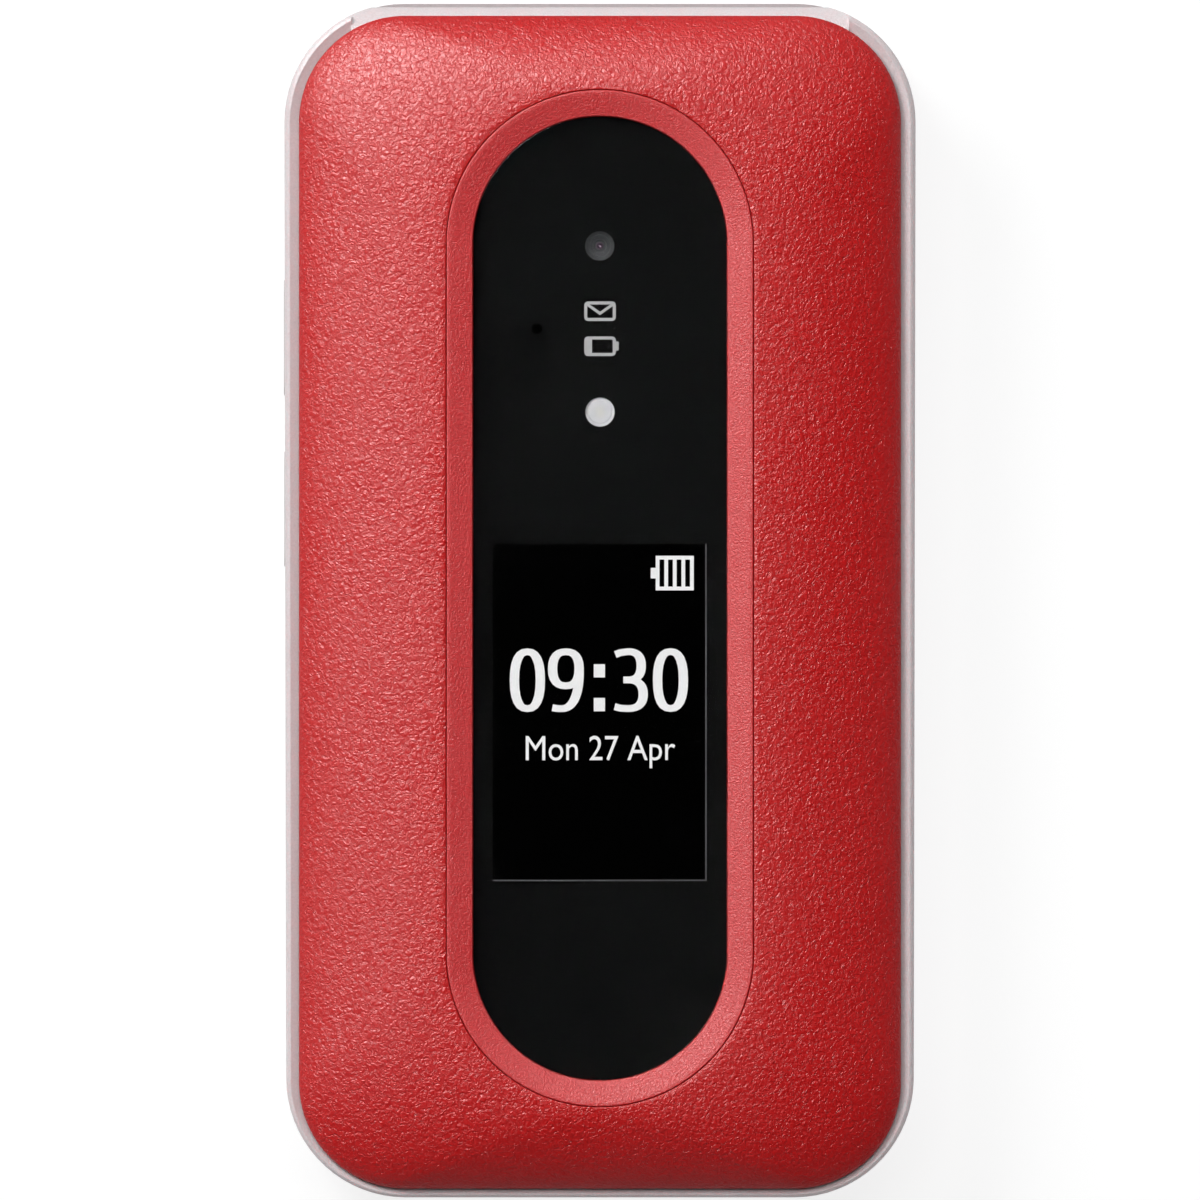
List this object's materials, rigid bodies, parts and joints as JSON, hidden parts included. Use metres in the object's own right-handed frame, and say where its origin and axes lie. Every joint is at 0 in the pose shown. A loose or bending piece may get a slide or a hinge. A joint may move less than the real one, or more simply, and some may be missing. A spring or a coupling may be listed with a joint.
{
  "type": "flip phone",
  "caption": "Clamshell mobile phone with a domed red lid, a pill-shaped outer window and display, large keys inside, and a removable battery.",
  "frame": {"origin": "centre of the back face of the closed phone, which lies on its back", "axes": "+Y along the phone towards the hinge, +Z out through the lid, +X to the right when looking down on the lid with the hinge at the top"},
  "size_m": [0.0571, 0.108, 0.0183],
  "materials": {
    "key_plastic": "satin light grey key caps",
    "call_green": "satin green key cap",
    "end_red": "satin red key cap",
    "side_key_plastic": "fine-grained pale plastic",
    "white_plastic": "pale pearl plastic with a fine moulded grain",
    "red_plastic": "red plastic with a moulded leather grain, satin gloss",
    "black_window": "clear hard-coated sheet, printed black behind",
    "display": "dark display module",
    "steel": "plain turned steel",
    "plated_steel": "tinned or nickel-plated sheet",
    "mesh_cloth": "woven dust mesh",
    "circuit_board": "green solder mask",
    "black_plastic": "moulded black plastic",
    "silicone": "soft grey silicone",
    "polyimide_film": "amber film",
    "battery_wrap": "printed wrap round a lithium-ion cell",
    "bush_plastic": "acetal",
    "light_pipe": "diffusing clear plastic"
  },
  "bodies": {
    "base": {"rear_case": "white_plastic", "front_case": "white_plastic", "keypad_mat": "silicone", "dome_sheet": "polyimide_film", "main_board": "circuit_board", "shield_cans": "plated_steel", "battery": "battery_wrap", "battery_connector": "black_plastic", "sim_card_holder": "black_plastic", "loudspeaker": "black_plastic", "speaker_mesh": "mesh_cloth", "usb_port": "plated_steel", "headset_jack": "black_plastic", "vibration_motor": "plated_steel", "tact_switches": "black_plastic", "base_screws": "steel", "hinge_shaft": "steel", "pivot_bush": "bush_plastic"},
    "lid": {"outer_cover": "red_plastic", "window_surround": "red_plastic", "window_lens": "black_window", "outer_display": "display", "camera_module": "black_plastic", "flash_led": "light_pipe", "lid_frame": "white_plastic", "inner_bezel": "white_plastic", "main_window": "black_window", "main_display": "display", "earpiece": "black_plastic", "earpiece_mesh": "mesh_cloth", "lid_board": "circuit_board", "lid_bumpers": "silicone", "lid_screws": "steel", "hinge_cartridge": "steel", "hinge_spring": "steel", "hinge_flex": "polyimide_film"},
    "key_1": {"key_1": "key_plastic"},
    "key_2": {"key_2": "key_plastic"},
    "key_3": {"key_3": "key_plastic"},
    "key_4": {"key_4": "key_plastic"},
    "key_5": {"key_5": "key_plastic"},
    "key_6": {"key_6": "key_plastic"},
    "key_7": {"key_7": "key_plastic"},
    "key_8": {"key_8": "key_plastic"},
    "key_9": {"key_9": "key_plastic"},
    "key_star": {"key_star": "key_plastic"},
    "key_0": {"key_0": "key_plastic"},
    "key_hash": {"key_hash": "key_plastic"},
    "key_soft_left": {"key_soft_left": "key_plastic"},
    "key_soft_right": {"key_soft_right": "key_plastic"},
    "key_camera": {"key_camera": "key_plastic"},
    "key_messages": {"key_messages": "key_plastic"},
    "key_call": {"key_call": "call_green"},
    "key_end": {"key_end": "end_red"},
    "nav_rocker": {"nav_rocker": "key_plastic"},
    "nav_select": {"nav_select": "key_plastic"},
    "volume_up_key": {"volume_up_key": "side_key_plastic"},
    "volume_down_key": {"volume_down_key": "side_key_plastic"},
    "assistance_key": {"assistance_key": "red_plastic"},
    "battery_cover": {"battery_cover": "white_plastic"}
  },
  "joints": [
    {"name": "lid_hinge", "type": "hinge", "parent": "base", "child": "lid", "pos_m": [0, 0.0504, 0.01], "axis": [-1, 0, 0], "range_deg": [0, 155]},
    {"name": "key_1_press", "type": "slide", "parent": "base", "child": "key_1", "axis": [0, 0, -1], "range_m": [0, 0.00035], "stiffness_N_per_m": 1000, "springref_m": -0.0008},
    {"name": "key_2_press", "type": "slide", "parent": "base", "child": "key_2", "axis": [0, 0, -1], "range_m": [0, 0.00035], "stiffness_N_per_m": 1000, "springref_m": -0.0008},
    {"name": "key_3_press", "type": "slide", "parent": "base", "child": "key_3", "axis": [0, 0, -1], "range_m": [0, 0.00035], "stiffness_N_per_m": 1000, "springref_m": -0.0008},
    {"name": "key_4_press", "type": "slide", "parent": "base", "child": "key_4", "axis": [0, 0, -1], "range_m": [0, 0.00035], "stiffness_N_per_m": 1000, "springref_m": -0.0008},
    {"name": "key_5_press", "type": "slide", "parent": "base", "child": "key_5", "axis": [0, 0, -1], "range_m": [0, 0.00035], "stiffness_N_per_m": 1000, "springref_m": -0.0008},
    {"name": "key_6_press", "type": "slide", "parent": "base", "child": "key_6", "axis": [0, 0, -1], "range_m": [0, 0.00035], "stiffness_N_per_m": 1000, "springref_m": -0.0008},
    {"name": "key_7_press", "type": "slide", "parent": "base", "child": "key_7", "axis": [0, 0, -1], "range_m": [0, 0.00035], "stiffness_N_per_m": 1000, "springref_m": -0.0008},
    {"name": "key_8_press", "type": "slide", "parent": "base", "child": "key_8", "axis": [0, 0, -1], "range_m": [0, 0.00035], "stiffness_N_per_m": 1000, "springref_m": -0.0008},
    {"name": "key_9_press", "type": "slide", "parent": "base", "child": "key_9", "axis": [0, 0, -1], "range_m": [0, 0.00035], "stiffness_N_per_m": 1000, "springref_m": -0.0008},
    {"name": "key_star_press", "type": "slide", "parent": "base", "child": "key_star", "axis": [0, 0, -1], "range_m": [0, 0.00035], "stiffness_N_per_m": 1000, "springref_m": -0.0008},
    {"name": "key_0_press", "type": "slide", "parent": "base", "child": "key_0", "axis": [0, 0, -1], "range_m": [0, 0.00035], "stiffness_N_per_m": 1000, "springref_m": -0.0008},
    {"name": "key_hash_press", "type": "slide", "parent": "base", "child": "key_hash", "axis": [0, 0, -1], "range_m": [0, 0.00035], "stiffness_N_per_m": 1000, "springref_m": -0.0008},
    {"name": "key_soft_left_press", "type": "slide", "parent": "base", "child": "key_soft_left", "axis": [0, 0, -1], "range_m": [0, 0.00035], "stiffness_N_per_m": 1000, "springref_m": -0.0008},
    {"name": "key_soft_right_press", "type": "slide", "parent": "base", "child": "key_soft_right", "axis": [0, 0, -1], "range_m": [0, 0.00035], "stiffness_N_per_m": 1000, "springref_m": -0.0008},
    {"name": "key_camera_press", "type": "slide", "parent": "base", "child": "key_camera", "axis": [0, 0, -1], "range_m": [0, 0.00035], "stiffness_N_per_m": 1000, "springref_m": -0.0008},
    {"name": "key_messages_press", "type": "slide", "parent": "base", "child": "key_messages", "axis": [0, 0, -1], "range_m": [0, 0.00035], "stiffness_N_per_m": 1000, "springref_m": -0.0008},
    {"name": "key_call_press", "type": "slide", "parent": "base", "child": "key_call", "axis": [0, 0, -1], "range_m": [0, 0.00035], "stiffness_N_per_m": 1000, "springref_m": -0.0008},
    {"name": "key_end_press", "type": "slide", "parent": "base", "child": "key_end", "axis": [0, 0, -1], "range_m": [0, 0.00035], "stiffness_N_per_m": 1000, "springref_m": -0.0008},
    {"name": "nav_select_press", "type": "slide", "parent": "base", "child": "nav_select", "axis": [0, 0, -1], "range_m": [0, 0.00035], "stiffness_N_per_m": 1000, "springref_m": -0.0008},
    {"name": "nav_rocker_tilt", "type": "hinge", "parent": "base", "child": "nav_rocker", "pos_m": [0, 0.026, 0.00868], "axis": [1, 0, 0], "range_deg": [-1.2, 1.2], "stiffness_Nm_per_rad": 0.6},
    {"name": "volume_up_key_press", "type": "slide", "parent": "base", "child": "volume_up_key", "axis": [1, 0, 0], "range_m": [0, 0.0003], "stiffness_N_per_m": 1000, "springref_m": -0.0008},
    {"name": "volume_down_key_press", "type": "slide", "parent": "base", "child": "volume_down_key", "axis": [1, 0, 0], "range_m": [0, 0.0003], "stiffness_N_per_m": 1000, "springref_m": -0.0008},
    {"name": "assistance_key_press", "type": "slide", "parent": "base", "child": "assistance_key", "axis": [0, 0, 1], "range_m": [0, 0.0004], "stiffness_N_per_m": 1000, "springref_m": -0.0008},
    {"name": "battery_cover_off", "type": "slide", "parent": "base", "child": "battery_cover", "axis": [0, 0, -1], "range_m": [0, 0.012]}
  ]
}
